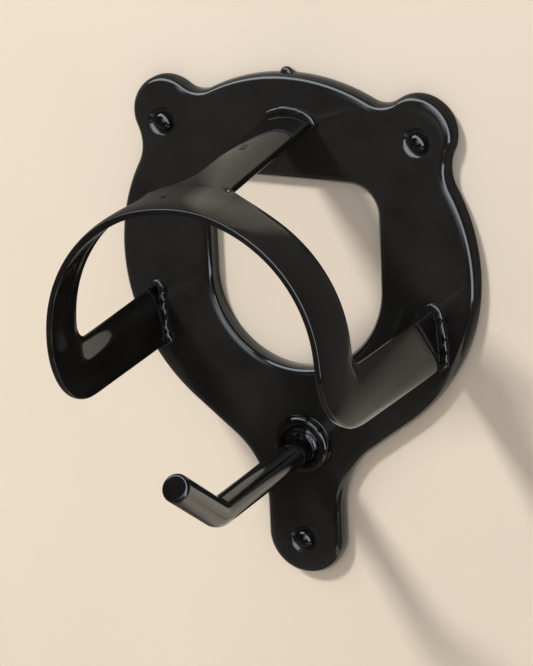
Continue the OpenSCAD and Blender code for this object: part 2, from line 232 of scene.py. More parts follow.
plate = {
    "depth": 7 * mm, "sheet": 2.5 * mm, "edge": 4 * mm, "discRadius": 75 * mm,
    "ear": Vector((52.4, 56)) * mm, "earRadius": 14.6 * mm,
    "earTopFillet": 9.8 * mm, "earSideFillet": 16.5 * mm,
    "tabRadius": 16.3 * mm, "tabDrop": 111.3 * mm, "neckFillet": 34.5 * mm, "neckDrop": 99.3 * mm,
    "openRadius": 35.2 * mm, "openTop": 34 * mm, "openCorner": 11 * mm, "openSpring": 6 * mm,
    "flat": 1 * mm, "lip": 0.5 * mm, "lipCorner": (0.15 * mm, 0.12 * mm),
    "spacing": 1.1 * mm, "fineShare": 0.45, "fineBelow": 20 * mm, "sameSpot": 0.05 * mm,
    "nib": Vector((-1.6, 74.7, 2)) * mm, "nibSize": Vector((2.7, 2.5, 1.9)) * mm,
}
screws = {
    "places": [Vector((-53.2, 53)) * mm, Vector((53.2, 53)) * mm, Vector((0, -112.5)) * mm],
    "nodes": ["left_screw", "right_screw", "lower_screw"],
    "headRadius": 4 * mm, "headRise": 3.2 * mm, "lip": 0.35 * mm, "neck": 2.5 * mm, "shank": 2 * mm,
    "hole": 2.75 * mm, "bevel": 0.1 * mm, "dimple": 6.4 * mm, "dimpleFlat": 0.6 * mm,
    "dimpleSlope": 2.1 * mm, "sunk": 1.1 * mm, "plain": 8 * mm, "length": 40 * mm,
    "pitch": 2.2 * mm, "thread": 0.6 * mm, "point": 6 * mm, "runOut": 3 * mm,
}
hook = {
    "x": 1.2 * mm, "drop": 73.4 * mm, "reach": 80.2 * mm, "radius": 5.5 * mm, "bend": 10 * mm,
    "tip": 38 * mm, "angle": 35.5, "rim": 1.5 * mm, "rivet": 8 * mm, "rivetDepth": 2 * mm,
    "clearance": 0.2 * mm, "rings": (20 * mm, 40 * mm, 60 * mm), "tipRings": (20 * mm, 8 * mm),
    "collarDrop": 71.8 * mm, "collarRadius": 11.6 * mm, "collarRise": 3.1 * mm,
    "collarWidth": 4.4 * mm, "collarFoot": 0.3 * mm,
}


def touchingCentre(first, firstRadius, second, secondRadius, fillet, side):
    gap = second - first
    a, b = firstRadius + fillet, secondRadius + fillet
    along = (a * a - b * b + gap.length_squared) / (2 * gap.length)
    across = math.sqrt(a * a - along * along)
    way = gap.normalized()
    return first + way * along + side * across * Vector((-way.y, way.x))


def degreesOf(v):
    return math.degrees(math.atan2(v.y, v.x))


def outlineHalf():
    # right half of the outline from top to bottom, as points with their inward ways
    disc, ear = Vector((0, 0)), plate["ear"]
    top = touchingCentre(disc, plate["discRadius"], ear, plate["earRadius"], plate["earTopFillet"], 1)
    side = touchingCentre(disc, plate["discRadius"], ear, plate["earRadius"], plate["earSideFillet"], -1)
    neck = Vector((plate["tabRadius"] + plate["neckFillet"], -plate["neckDrop"]))
    flank = math.degrees(math.acos((plate["discRadius"] + plate["neckFillet"]) / neck.length))
    tab = Vector((0, -plate["tabDrop"]))
    arcs = [
        (disc, plate["discRadius"], 90, degreesOf(top), 1),
        (top, plate["earTopFillet"], degreesOf(-top), degreesOf(ear - top), -1),
        (ear, plate["earRadius"], degreesOf(top - ear), degreesOf(side - ear), 1),
        (side, plate["earSideFillet"], degreesOf(ear - side), 360 + degreesOf(-side), -1),
        (disc, plate["discRadius"], degreesOf(side), degreesOf(neck) + flank, 1),
        (neck, plate["neckFillet"], degreesOf(-neck) + flank, 180, -1),
        (tab, plate["tabRadius"], 0, -90, 1),
    ]
    return arcPoints(arcs)


def openingHalf():
    radius, rounding = plate["openRadius"], plate["openCorner"]
    corner = Vector((radius - rounding, plate["openTop"] - rounding))
    arcs = [(corner, rounding, 90, 0, -1), (Vector((0, -plate["openSpring"])), radius, 0, -90, -1)]
    return [(Vector((0, plate["openTop"])), Vector((0, 1)))] + arcPoints(arcs)


def arcPoints(arcs):
    # points of a chain of arcs, each (centre, radius, start, end, 1 if its centre lies on the sheet's side)
    points = []
    for centre, radius, start, end, bulge in arcs:
        spacing = plate["spacing"] * (plate["fineShare"] if radius < plate["fineBelow"] else 1)
        for angle in arcAngles(start, end, radius, spacing):
            way = turned(angle)
            if not points or (centre + radius * way - points[-1][0]).length > plate["sameSpot"]:
                points.append((centre + radius * way, -bulge * way))
    return points


def wholeLoop(half):
    return half + [(Vector((-p.x, p.y)), Vector((-n.x, n.y))) for p, n in half[-2:0:-1]]


def edgeProfile():
    # (distance in from the edge, height off the wall) from the sheet's back round the rolled edge to its face
    depth, edge, sheet = plate["depth"], plate["edge"], plate["sheet"]
    lip, (across, up) = plate["lip"], plate["lipCorner"]
    low, inside = depth - edge, edge - sheet
    inner = [(edge + inside * turned(a)[0], low + inside * turned(a)[1]) for a in range(90, 181, 18)]
    outer = [(edge + edge * turned(a)[0], low + edge * turned(a)[1]) for a in range(180, 89, -6)]
    foot = [(sheet, lip), (sheet - across, up), (sheet - lip, 0), (lip, 0), (across, up), (0, lip)]
    return [(edge + plate["flat"], depth - sheet)] + inner + foot + outer + [(edge + plate["flat"], depth)]


def buildNib():
    # a round drop of coating on the top edge
    centre, size = plate["nib"], plate["nibSize"]
    rings = []
    for k in range(1, 20):
        along, reach = turned(9 * k)
        ring = []
        for j in range(24):
            up, out = turned(15 * j)
            ring.append(place(centre.x + size.x * along, centre.y + size.y * reach * up,
                              centre.z + size.z * reach * out))
        rings.append(ring)
    return sweep(rings, capped=True)


def dimpleProfile():
    # (radius, height) from the flat of the plate down to the screw hole and through to the back
    depth, sunk, rim = plate["depth"], screws["sunk"], screws["dimple"]
    hole, bevel = screws["hole"], screws["bevel"]
    steps = [(rim + screws["dimpleFlat"], depth)]
    steps += [(rim - screws["dimpleSlope"] * k / 10, depth - sunk * ease(k / 10)) for k in range(11)]
    return steps + [(hole + bevel, depth - sunk), (hole, depth - sunk - bevel),
                    (hole, depth - plate["sheet"])]


def fillFlat(loops, isInside, height):
    # triangles that fill the area between closed loops of points in the plane of the plate
    points, edges = [], []
    for loop in loops:
        first = len(points)
        points += loop
        edges += [(first + i, first + (i + 1) % len(loop)) for i in range(len(loop))]
    found, _, triangles, *_ = delaunay_2d_cdt(points, edges, [], 1, 1e-7, True)
    kept = [t for t in triangles if isInside(sum((found[i] for i in t), Vector((0, 0))) / 3)]
    return [place(p.x, p.y, height) for p in found], kept


def insideLoop(point, loop):
    hit = False
    for a, b in zip(loop, loop[1:] + loop[:1]):
        if (a.y > point.y) != (b.y > point.y) and point.x < (b.x - a.x) * (point.y - a.y) / (b.y - a.y) + a.x:
            hit = not hit
    return hit


def circleLoop(centre, radius, count=64):
    return [centre + radius * turned(360 * k / count) for k in range(count)]


def joinParts(parts):
    # one list of vertices and faces from several, with coincident vertices merged
    vertices, faces, seen = [], [], {}
    for partVertices, partFaces in parts:
        numbers = []
        for v in partVertices:
            key = (round(v[0], 7), round(v[1], 7), round(v[2], 7))
            if key not in seen:
                seen[key] = len(vertices)
                vertices.append(v)
            numbers.append(seen[key])
        for face in partFaces:
            merged = []
            for i in face:
                if numbers[i] not in merged:
                    merged.append(numbers[i])
            if len(merged) > 2:
                faces.append(tuple(merged))
    return vertices, faces


def buildPlate():
    outline, opening = wholeLoop(outlineHalf()), wholeLoop(openingHalf())
    profile = edgeProfile()
    outer = [[place(*(p + n * inset), height) for p, n in outline] for inset, height in profile]
    inner = [[place(*(p + n * inset), height) for p, n in opening] for inset, height in profile]
    flatInset = profile[-1][0]
    outerFlat = [p + n * flatInset for p, n in outline]
    innerFlat = [p + n * flatInset for p, n in opening]
    dimples = [revolveFromWall(spot, dimpleProfile(), 64) for spot in screws["places"]]
    rodHole = Vector((hook["x"], -hook["drop"]))
    holeRadius = hook["radius"] + hook["clearance"]
    front, back = plate["depth"], plate["depth"] - plate["sheet"]

    def filled(height, screwRadius):
        holes = [circleLoop(c, screwRadius) for c in screws["places"]] + [circleLoop(rodHole, holeRadius)]

        def isInside(p):
            onSheet = insideLoop(p, outerFlat) and not insideLoop(p, innerFlat)
            offScrews = all((p - c).length > screwRadius for c in screws["places"])
            return onSheet and offScrews and (p - rodHole).length > holeRadius
        return fillFlat([outerFlat, innerFlat] + holes, isInside, height)
    frontFill = filled(front, dimpleProfile()[0][0])
    backFill = filled(back, screws["hole"])
    bore = revolveFromWall(rodHole, [(holeRadius, front), (holeRadius, back)], 64)
    parts = [sweep(outer), sweep(inner), frontFill, backFill, sweep(bore), buildNib()]
    return joinParts(parts + [sweep(rings) for rings in dimples])


def facedOutwards(piece):
    work = bmesh.new()
    work.from_mesh(piece.data)
    bmesh.ops.recalc_face_normals(work, faces=work.faces)
    work.to_mesh(piece.data)
    work.free()
    piece.data.shade_smooth()
    return piece


def sharpened(piece, angle):
    piece.data.set_sharp_from_angle(angle=math.radians(angle))
    return piece


backPlate = sharpened(facedOutwards(makeObject("backPlate", *buildPlate())), 60)
finishPiece(backPlate, "plate_coating", "back_plate")
print("plate made")

# Bow and top arm: strips with rounded edges, joined by a dressed weld into one flowing shape

strip = {
    "width": 23.8 * mm, "thickness": 2.9 * mm, "archRadius": 55.6 * mm, "flattened": 0.98,
    "archDrop": 5.6 * mm, "reach": 100.5 * mm, "crown": 1.4 * mm, "corner": 6.6 * mm, "x": 0.2 * mm,
    "splay": 2.8, "splayEnd": 60, "rise": 0.7, "twist": 4.6, "turn": 1.25, "footSunk": 0.4 * mm,
    "columns": [-1, -0.93, -0.7, -0.26, 0.2, 0.55, 0.82, 0.95, 1],
    "archAngles": [68, 61, 53, 45, 37.5, 30, 22.5, 15, 7.5, 0],
    "legRows": [0.18, 0.4, 0.62, 0.82, 0.95],
    "dome": 0.35, "frontFall": 0.65, "rearFall": 0.35, "armRise": 0.62, "joinBeside": 0.3,
    "bulge": 1.2, "innerDome": 0.25, "innerFall": 0.4, "shoulder": 1.3,
}
arm = {
    "width": 18.6 * mm, "x": 1.1 * mm, "foot": 57 * mm, "crown": 2.8 * mm,
    "leftFillet": 13 * mm, "rightFillet": 3 * mm,
    "rowsBehindArch": [1.1, 2.6, 5, 8.5, 13, 20, 31, 43, 56], "weldRow": 1.5 * mm,
}
halfThick = strip["thickness"] / 2
bandY = strip["width"] / 2 - strip["reach"]
midRadius = strip["archRadius"] - halfThick
cornerRadius = strip["corner"] + strip["width"] / 2
legWay = Vector((*turned(90 - strip["splay"]), 0))
legOut = Vector((legWay.y, -legWay.x, 0))
cornerCentre = Vector((midRadius, bandY, -strip["archDrop"])) + cornerRadius * legWay
legCourse = turned(strip["rise"])[0] * legWay + Vector((0, 0, turned(strip["rise"])[1]))
armFront = strip["reach"] - strip["width"]


# Each station is the strip's middle, the way across it and the way out of it, on the right half

def archStation(angle):
    splay = strip["splay"] * (1 - ease(angle / strip["splayEnd"]))
    cosine, sine = turned(angle)
    sideways, inwards = turned(90 - splay)
    across = Vector((sideways * cosine, inwards, sideways * sine)).normalized()
    out = Vector((strip["flattened"] * cosine, 0, sine)).normalized()
    centre = Vector((midRadius * cosine, bandY, strip["flattened"] * midRadius * sine - strip["archDrop"]))
    return centre, across, (out - out.dot(across) * across).normalized()


def cornerStation(angle):
    inwards = turned(angle)[0] * legWay + turned(angle)[1] * Vector((0, 0, 1))
    return cornerCentre - cornerRadius * inwards, inwards, legOut


def legStation(out, twist):
    start = cornerStation(90 + strip["rise"])[0]
    lean = twist * ease((-start.y - out) / (-start.y - plate["depth"]))
    centre = start + (-start.y - out) * legCourse / legCourse.y
    cosine, sine = turned(lean)
    return centre, Vector((-sine, 0, cosine)), Vector((cosine, 0, sine))


def sideStations(twist):
    start = -cornerStation(90)[0].y
    legOuts = [start + (plate["depth"] - start) * u for u in strip["legRows"]]
    return ([archStation(a) for a in strip["archAngles"]]
            + [cornerStation((90 + strip["rise"]) * k / 8) for k in range(1, 9)]
            + [legStation(out, twist) for out in legOuts + [plate["depth"] - strip["footSunk"]]])


def mirrorStation(station):
    return tuple(Vector((-v.x, v.y, v.z)) for v in station)


def armHalf(behind, side):
    fillet = arm["rightFillet"] if side > 0 else arm["leftFillet"]
    near = max(0.0, fillet - behind)
    return arm["width"] / 2 + fillet - math.sqrt(fillet * fillet - near * near)


def joinStations():
    # the stations where the columns of the arm leave the arch, from left to right
    stations = []
    for s in strip["columns"]:
        x = arm["x"] + s * armHalf(0, s) - strip["x"]
        angle = math.degrees(math.acos(x / midRadius)) - strip["turn"]
        stations.append(archStation(angle) if angle <= 90 else mirrorStation(archStation(180 - angle)))
    return stations


def bowTurned(v):
    cosine, sine = turned(strip["turn"])
    up = v.z + strip["archDrop"]
    return Vector((strip["x"] + cosine * v.x - sine * up, v.y, sine * v.x + cosine * up - strip["archDrop"]))


def crownLift(s, join=0.0):
    # how far the strip stands out above its edges, where it goes on rising into the arm at the rear edge
    fall = strip["rearFall"] if s > 0 else strip["frontFall"]
    lift = 1 - strip["dome"] * s * s - fall * s ** 6
    if s > 0:
        lift += join * (1 + strip["armRise"] * s * s - lift)
    return strip["crown"] * lift


def skinOffset(s, skin, join=0.0):
    # the inner skin bulges between its edges, with a wide shoulder on the wall's side where no arm joins
    if skin > 0:
        return halfThick
    shoulder = strip["shoulder"] * (1 - join) * ease((s - 0.05) / 0.9)
    fall = strip["innerFall"] * s ** 8 if s < 0 else 0
    return -halfThick * (strip["bulge"] - strip["innerDome"] * s * s - fall - shoulder)


def armPoint(s, behind, skin):
    x = arm["x"] + s * armHalf(behind, s)
    u = behind / (armFront - plate["depth"])
    rise = math.sqrt(midRadius ** 2 - (x - strip["x"]) ** 2)
    front = strip["flattened"] * rise - strip["archDrop"] + crownLift(1, 1)
    foot = arm["foot"] + arm["crown"] * (1 - s * s)
    return Vector((x, behind - armFront, front * (1 - u) + foot * u + skin * halfThick))


def buildStrips():
    left = [mirrorStation(s) for s in sideStations(-strip["twist"])[::-1]]
    stations = left + joinStations() + sideStations(strip["twist"])
    columns = strip["columns"]
    n = len(columns)
    armSpan = range(len(left), len(left) + n)
    vertices, faces = [], []
    for i, (centre, across, out) in enumerate(stations):
        beside = i + 1 in armSpan or i - 1 in armSpan
        join = 1.0 if i in armSpan else strip["joinBeside"] if beside else 0.0
        for skin in (1, -1):
            for s in columns:
                lift = crownLift(s, join) + skinOffset(s, skin, join)
                vertices.append(bowTurned(centre + across * s * strip["width"] / 2 + out * lift))

    def number(i, j, skin):
        return i * 2 * n + j + (0 if skin > 0 else n)

    def addStrip(rows, openFirst, openLast):
        # both skins and both edges of a strip whose rows hold the numbers (outer, inner) of each column
        for a, b in zip(rows, rows[1:]):
            for j in range(n - 1):
                faces.append((a[j][0], b[j][0], b[j + 1][0], a[j + 1][0]))
                faces.append((a[j][1], a[j + 1][1], b[j + 1][1], b[j][1]))
        for row, isOpen in ((rows[0], openFirst), (rows[-1], openLast)):
            if not isOpen:
                faces.extend((row[j][0], row[j][1], row[j + 1][1], row[j + 1][0]) for j in range(n - 1))
    bow = [[(number(i, j, 1), number(i, j, -1)) for j in range(n)] for i in range(len(stations))]
    addStrip(bow, False, False)
    for i in range(len(stations) - 1):
        a, b = bow[i], bow[i + 1]
        faces.append((a[0][0], a[0][1], b[0][1], b[0][0]))
        if not (i in armSpan and i + 1 in armSpan):
            faces.append((a[-1][0], a[-1][1], b[-1][1], b[-1][0]))
    rows = [[bow[i][-1] for i in armSpan]]
    depth = armFront - plate["depth"]
    distances = [d * mm for d in arm["rowsBehindArch"]]
    for behind in distances + [depth - arm["weldRow"], depth + strip["footSunk"]]:
        row = []
        for s in columns:
            row.append((len(vertices), len(vertices) + 1))
            vertices += [armPoint(s, behind, 1), armPoint(s, behind, -1)]
        rows.append(row)
    addStrip(rows, True, False)
    for a, b in zip(rows, rows[1:]):
        faces.append((a[0][0], a[0][1], b[0][1], b[0][0]))
        faces.append((a[-1][0], a[-1][1], b[-1][1], b[-1][0]))
    return vertices, faces


def smoothed(piece, levels):
    modifier = piece.modifiers.new("smooth", "SUBSURF")
    modifier.levels = modifier.render_levels = levels
    graph = bpy.context.evaluated_depsgraph_get()
    mesh = bpy.data.meshes.new_from_object(piece.evaluated_get(graph))
    piece.modifiers.clear()
    old, piece.data = piece.data, mesh
    bpy.data.meshes.remove(old)
    return piece


# Marks left by the grinder under the coating: centre, way along, half length, half width, depth
dents = [
    (Vector((9.9, -76.5, 50.3)) * mm, Vector((1, -0.3, -0.2)), 1.5 * mm, 0.9 * mm, 0.9 * mm),
    (Vector((-0.9, -41.2, 56.3)) * mm, Vector((1, 0.3, 0)), 1.4 * mm, 0.8 * mm, 1.0 * mm),
    (Vector((57.2, -77, -10)) * mm, Vector((0.1, 0.35, -1)), 3.8 * mm, 0.9 * mm, 0.5 * mm),
]


def pressDents(piece):
    mesh = piece.data
    normals = [v.normal.copy() for v in mesh.vertices]
    for centre, way, length, width, depth in dents:
        way = way.normalized()
        for v, normal in zip(mesh.vertices, normals):
            offset = v.co - centre
            if offset.length < 3 * length:
                along = offset.dot(way)
                aside = (offset - along * way).length
                v.co -= normal * depth * bell(along, length) * bell(aside, width)


strips = smoothed(facedOutwards(makeObject("stripsAndArm", *buildStrips())), 3)
pressDents(strips)
strips.data.shade_smooth()
finishPiece(strips, "strip_coating", "bow", "top_arm", "arm_seam_weld")
print("strips made")

# Foot welds: beads laid round each foot

weld = {
    "radius": 1.8 * mm, "offset": 0.5 * mm, "sunk": 0.5 * mm, "ripple": 0.2 * mm, "pitch": 5.5 * mm,
    "wander": 0.5 * mm, "lowerTaper": 0.9 * mm, "bowCalm": 0.6, "armCalm": 0.35,
    "rightSeed": 3.0, "leftSeed": 9.0, "armSeed": 17.0,
}


def footLoop(centre, across, out, halfWidth, lift, count=120):
    # the strip's outline at its foot as points with their outward ways, all in the plane of the plate
    straight = halfWidth - halfThick
    upper = [(straight * (2 * k / count - 1), halfThick) for k in range(count + 1)]
    edge = [(straight + halfThick * turned(a)[0], halfThick * turned(a)[1]) for a in range(75, -90, -15)]
    loop = upper + edge + [(-x, -h) for x, h in upper] + [(-x, -h) for x, h in edge]
    points = [centre + across * x + out * (h + lift(x / halfWidth)) for x, h in loop]
    ways = []
    for i in range(len(points)):
        way = (points[(i + 1) % len(points)] - points[i - 1]).normalized()
        ways.append(Vector((-way.z, 0, way.x)))
    top = len(upper) // 2
    if ways[top].dot(out) < 0:
        ways = [-way for way in ways]
    return list(zip(points, ways))


def beadRings(loop, seed, calm):
    lengths = [(loop[i][0] - loop[i - 1][0]).length for i in range(len(loop))]
    whole = sum(lengths)
    waves = round(whole / weld["pitch"])
    rings, travelled = [], 0.0
    for (point, outward), length in zip(loop, lengths):
        travelled += length
        turn = turned(360 * travelled / whole)
        drift = noise.noise(Vector((turn[0] * 1.3, turn[1] * 1.3, seed)))
        swell = weld["ripple"] * math.sin(2 * math.pi * waves * travelled / whole + 3 * drift)
        taper = weld["lowerTaper"] * ease(-1.5 * outward.z)
        radius = weld["radius"] + calm * (swell + weld["wander"] * drift) - taper
        centre = point + outward * (weld["offset"] + 0.8 * calm * weld["wander"] * drift)
        centre.y = -(plate["depth"] + weld["sunk"])
        rings.append([centre + radius * (outward * turned(15 * k)[0] + Vector((0, -1, 0)) * turned(15 * k)[1])
                      for k in range(24)])
    return rings


def buildWeld(name, node, loop, seed, calm):
    rings = beadRings(loop, seed, calm)
    finishPiece(facedOutwards(makeObject(name, *sweep(rings, closedAlong=True))), "weld_coating", node)


def bowFoot(side):
    centre, across, out = legStation(plate["depth"], side * strip["twist"])
    if side < 0:
        centre, across, out = mirrorStation((centre, across, out))
    origin = bowTurned(Vector((0, 0, 0)))
    return bowTurned(centre), bowTurned(across) - origin, bowTurned(out) - origin


for side, name, node, seed in ((1, "rightFootWeld", "right_foot_weld", weld["rightSeed"]),
                               (-1, "leftFootWeld", "left_foot_weld", weld["leftSeed"])):
    buildWeld(name, node, footLoop(*bowFoot(side), strip["width"] / 2, crownLift), seed, weld["bowCalm"])
armFoot = (Vector((arm["x"], -plate["depth"], arm["foot"])), Vector((1, 0, 0)), Vector((0, 0, 1)))
armLoop = footLoop(*armFoot, arm["width"] / 2, lambda s: arm["crown"] * (1 - s * s))
buildWeld("topFootWeld", "top_foot_weld", armLoop, weld["armSeed"], weld["armCalm"])
print("foot welds made")

# Hook rod, its collar and the weld round it


def buildRod():
    tangent = hook["bend"] * math.tan(math.radians(hook["angle"] / 2))
    radius, rim = hook["radius"], hook["rim"]
    face, rivet = plate["depth"] - plate["sheet"], hook["rivet"]
    back = face - hook["rivetDepth"]
    head = [(back, tiny), (back, rivet - 0.8 * mm), (back + 0.25 * mm, rivet - 0.2 * mm),
            (back + 0.8 * mm, rivet), (face - 0.02 * mm, rivet), (face, rivet - 0.1 * mm), (face, radius)]
    path = [(Vector((0, out)), 0, r) for out, r in head]
    straight = (plate["depth"], *hook["rings"], hook["reach"] - tangent)
    path += [(Vector((0, out)), 0, radius) for out in straight]
    bendCentre = Vector((hook["bend"], hook["reach"] - tangent))
    path += [(bendCentre + hook["bend"] * Vector((-turned(a)[0], turned(a)[1])), a, radius)
             for a in arcAngles(0, hook["angle"], hook["bend"], 0.6 * mm)[1:]]
    way = Vector((turned(hook["angle"])[1], turned(hook["angle"])[0]))
    tip = Vector((0, hook["reach"])) + way * hook["tip"]
    path += [(tip - way * d, hook["angle"], radius) for d in (*hook["tipRings"], rim + 1 * mm)]
    path += [(tip - way * (rim - rim * turned(a)[1]), hook["angle"], radius - rim + rim * turned(a)[0])
             for a in range(0, 91, 9)]
    path += [(tip, hook["angle"], r * radius) for r in (0.6, 0.3, 0.01)]
    rings = []
    for point, angle, r in path:
        upwards = Vector((turned(angle)[0], -turned(angle)[1]))
        ring = []
        for k in range(72):
            cosine, sine = turned(5 * k)
            ring.append(place(hook["x"] + r * cosine, -hook["drop"] + point.x + r * sine * upwards.x,
                              point.y + r * sine * upwards.y))
        rings.append(ring)
    return sweep(rings, capped=True)


hookRod = sharpened(facedOutwards(makeObject("hookRod", *buildRod())), 60)
finishPiece(hookRod, "rod_coating", "hook_rod")


def buildCollar():
    outer, rise, width = hook["collarRadius"], hook["collarRise"], hook["collarWidth"]
    middle, half, foot = outer - width / 2, width / 2, hook["collarFoot"]
    profile = [(outer + foot, 0.0), (outer + 0.05 * mm, 0.15 * mm)]
    profile += [(middle + half * turned(a)[0], foot + (rise - foot) * turned(a)[1] ** 0.8)
                for a in range(6, 175, 8)]
    profile += [(middle - half, 0.0), (outer + foot, 0.0)]
    centre = Vector((hook["x"], -hook["collarDrop"]))
    rings = revolveFromWall(centre, [(r, plate["depth"] + h) for r, h in profile], 120)
    return sweep(rings, closedAlong=True)


finishPiece(facedOutwards(makeObject("hookCollar", *buildCollar())), "rod_coating", "hook_collar")


hookWeld = {
    "overlap": 0.15 * mm, "inRod": 0.1 * mm, "atRod": 2.1 * mm, "fall": 2.2, "belly": 0.75 * mm,
    "atCollar": 0.7 * mm, "base": 0.5 * mm, "ripple": 0.1 * mm, "lump": 0.4 * mm,
}


def buildHookWeld():
    # a dished weld from the rod out to the collar, with ripples that run round it
    dish = hook["collarRadius"] - hook["collarWidth"] + hookWeld["overlap"]
    bore = hook["radius"] - hookWeld["inRod"]
    rod, collar = Vector((hook["x"], -hook["drop"])), Vector((hook["x"], -hook["collarDrop"]))
    ways = [turned(2 * m) for m in range(180)]
    rings = []
    for k in range(17):
        u = k / 16
        swell = (hookWeld["atRod"] * (1 - u) ** hookWeld["fall"] + hookWeld["belly"] * math.sin(math.pi * u)
                 + hookWeld["atCollar"] * u ** 3 + hookWeld["base"])
        ring = []
        for m, way in enumerate(ways):
            point = (rod + bore * way).lerp(collar + dish * way, u)
            drift = noise.noise(Vector((way.x * 1.6, way.y * 1.6, 0)))
            ripple = hookWeld["ripple"] * math.sin(math.radians(2 * m * 6) + 2 * drift)
            ripple += hookWeld["ripple"] * math.sin(11 * u + 3 * drift)
            lump = hookWeld["lump"] * noise.noise(Vector((way.x * 1.2, way.y * 1.2, 4 + u)))
            out = plate["depth"] + swell + (ripple + lump) * math.sin(math.pi * u)
            ring.append(place(point.x, point.y, out))
        rings.append(ring)
    base = [[place(*(collar + dish * way), plate["depth"]) for way in ways],
            [place(*(rod + bore * way), plate["depth"]) for way in ways]]
    return sweep(rings + base, closedAlong=True)


finishPiece(facedOutwards(makeObject("hookWeld", *buildHookWeld())), "weld_coating", "hook_weld")
print("hook made")

# Screws: domed heads, plain shanks and a helical thread


def buildScrew(centre):
    head, rise, shank = screws["headRadius"], screws["headRise"], screws["shank"]
    neck, plain, length = screws["neck"], screws["plain"], screws["length"]
    core, seat = shank - screws["thread"], plate["depth"] - screws["sunk"]
    ball = (head * head + rise * rise) / (2 * rise)
    tilt = math.degrees(math.asin((head - 0.1 * mm) / ball))
    profile = [(tiny, seat + rise)]
    for k in range(1, 15):
        way = turned(90 - tilt * k / 14)
        profile.append((ball * way[0], seat + rise - ball + ball * way[1]))
    profile += [(head, seat + screws["lip"]), (head - 0.05 * mm, seat + 0.05 * mm), (head - 0.2 * mm, seat),
                (neck, seat), (neck, 0.0), (shank, 0.0), (shank, -plain), (core, -plain - 0.8 * mm),
                (core, seat - length + screws["point"]), (tiny, seat - length + 0.4 * mm)]
    body = sweep(revolveFromWall(centre, profile, 48), capped=True)
    start = seat + plain + 0.4 * mm
    turns = (length - start - 1.6 * mm) / screws["pitch"]
    rings = []
    for k in range(int(turns * 24)):
        drop = start + k / 24 * screws["pitch"]
        root = core * min(1, max(0.1, (length - drop) / screws["point"]))
        crest = root + screws["thread"] * min(1, k / 12, (length - drop) / screws["runOut"])
        way = turned(15 * k)
        valley = root - 0.1 * mm
        ridge = ((valley, 0.45 * mm), (crest, 0.06 * mm), (crest, -0.06 * mm), (valley, -0.45 * mm))
        rings.append([place(centre.x + r * way.x, centre.y + r * way.y, seat - drop + step)
                      for r, step in ridge])
    return joinParts([body, sweep(rings, capped=True)])


for centre, node in zip(screws["places"], screws["nodes"]):
    screw = sharpened(facedOutwards(makeObject(node.replace("_s", "S"), *buildScrew(centre))), 45)
    finishPiece(screw, "screw_black", node)
print("screws made")

# Stage: a pale wall that the rack hangs on, which can't be seen from behind and carries painted shade and
# painted light where it shows in reflections, and a pale floor below it

stage = {
    "halfWidth": 1.6, "top": 1.5, "floor": -0.75, "cove": 0.2, "depth": 1.0, "color": (0.78, 0.70, 0.60),
    # the shade and reflected keys set painted shade and painted light on the wall, seen only in reflections
    "slant": 1.2, "shadeAbove": (0.035, 0.085), "shadeRight": (0.0, 0.05), "shadeLeft": (-0.055, -0.005),
    "shadeBelow": (-0.35, -0.2), "shadeTop": (0.0, 0.07), "topShade": 0.65,
    "paintedLightInReflection": (1.7, 1.78, 1.84), "paintedShadeInReflection": (0.17, 0.18, 0.19),
}


def paintedShadeNode(tree, where):
    # painted shade and painted light on the wall, seen only in reflections: dark to the left, far below,
    # above on the right, and less so above
    parts = addNode(tree, "ShaderNodeSeparateXYZ")
    tree.links.new(where, parts.inputs["Vector"])
    tilted = mathNode(tree, "MULTIPLY", parts.outputs["X"], stage["slant"])
    slant = mathNode(tree, "ADD", tilted, parts.outputs["Z"])
    shade = mathNode(tree, "MINIMUM", rangeNode(tree, slant, *stage["shadeAbove"], 0.0, 1.0),
                     rangeNode(tree, parts.outputs["X"], *stage["shadeRight"], 0.0, 1.0))
    for value, ends in ((parts.outputs["X"], stage["shadeLeft"]), (slant, stage["shadeBelow"])):
        shade = mathNode(tree, "MAXIMUM", shade, rangeNode(tree, value, *ends, 1.0, 0.0))
    above = rangeNode(tree, parts.outputs["Z"], *stage["shadeTop"], 0.0, stage["topShade"])
    shade = mathNode(tree, "MAXIMUM", shade, above)
    colors = addNode(tree, "ShaderNodeMix", data_type="RGBA")
    colors.inputs[6].default_value = (*stage["paintedLightInReflection"], 1)
    colors.inputs[7].default_value = (*stage["paintedShadeInReflection"], 1)
    tree.links.new(shade, colors.inputs[0])
    return colors.outputs[2]


def stageMaterial():
    material = bpy.data.materials.new("paleStage")
    material.use_nodes = True
    tree = material.node_tree
    shader = tree.nodes["Principled BSDF"]
    shader.inputs["Roughness"].default_value = 0.9
    shader.inputs["Specular IOR Level"].default_value = 0.2
    where = addNode(tree, "ShaderNodeTexCoord").outputs["Object"]
    tone = addNode(tree, "ShaderNodeHueSaturation", Color=(*stage["color"], 1))
    uneven = rangeNode(tree, noiseNode(tree, where, 6.0, 3.0), 0.3, 0.7, 0.97, 1.03)
    tree.links.new(uneven, tone.inputs["Value"])
    # painted shade and painted light: in reflections the wall's colour is multiplied by a colour that changes
    # by place
    paintedReflection = addNode(tree, "ShaderNodeMix", data_type="RGBA", blend_type="MULTIPLY")
    tree.links.new(addNode(tree, "ShaderNodeLightPath").outputs["Is Glossy Ray"], paintedReflection.inputs[0])
    tree.links.new(tone.outputs["Color"], paintedReflection.inputs[6])
    tree.links.new(paintedShadeNode(tree, where), paintedReflection.inputs[7])
    tree.links.new(paintedReflection.outputs[2], shader.inputs["Base Color"])
    clear = addNode(tree, "ShaderNodeBsdfTransparent")
    choice = addNode(tree, "ShaderNodeMixShader")
    tree.links.new(addNode(tree, "ShaderNodeNewGeometry").outputs["Backfacing"], choice.inputs["Fac"])
    tree.links.new(shader.outputs["BSDF"], choice.inputs[1])
    tree.links.new(clear.outputs["BSDF"], choice.inputs[2])
    tree.links.new(choice.outputs["Shader"], tree.nodes["Material Output"].inputs["Surface"])
    return material


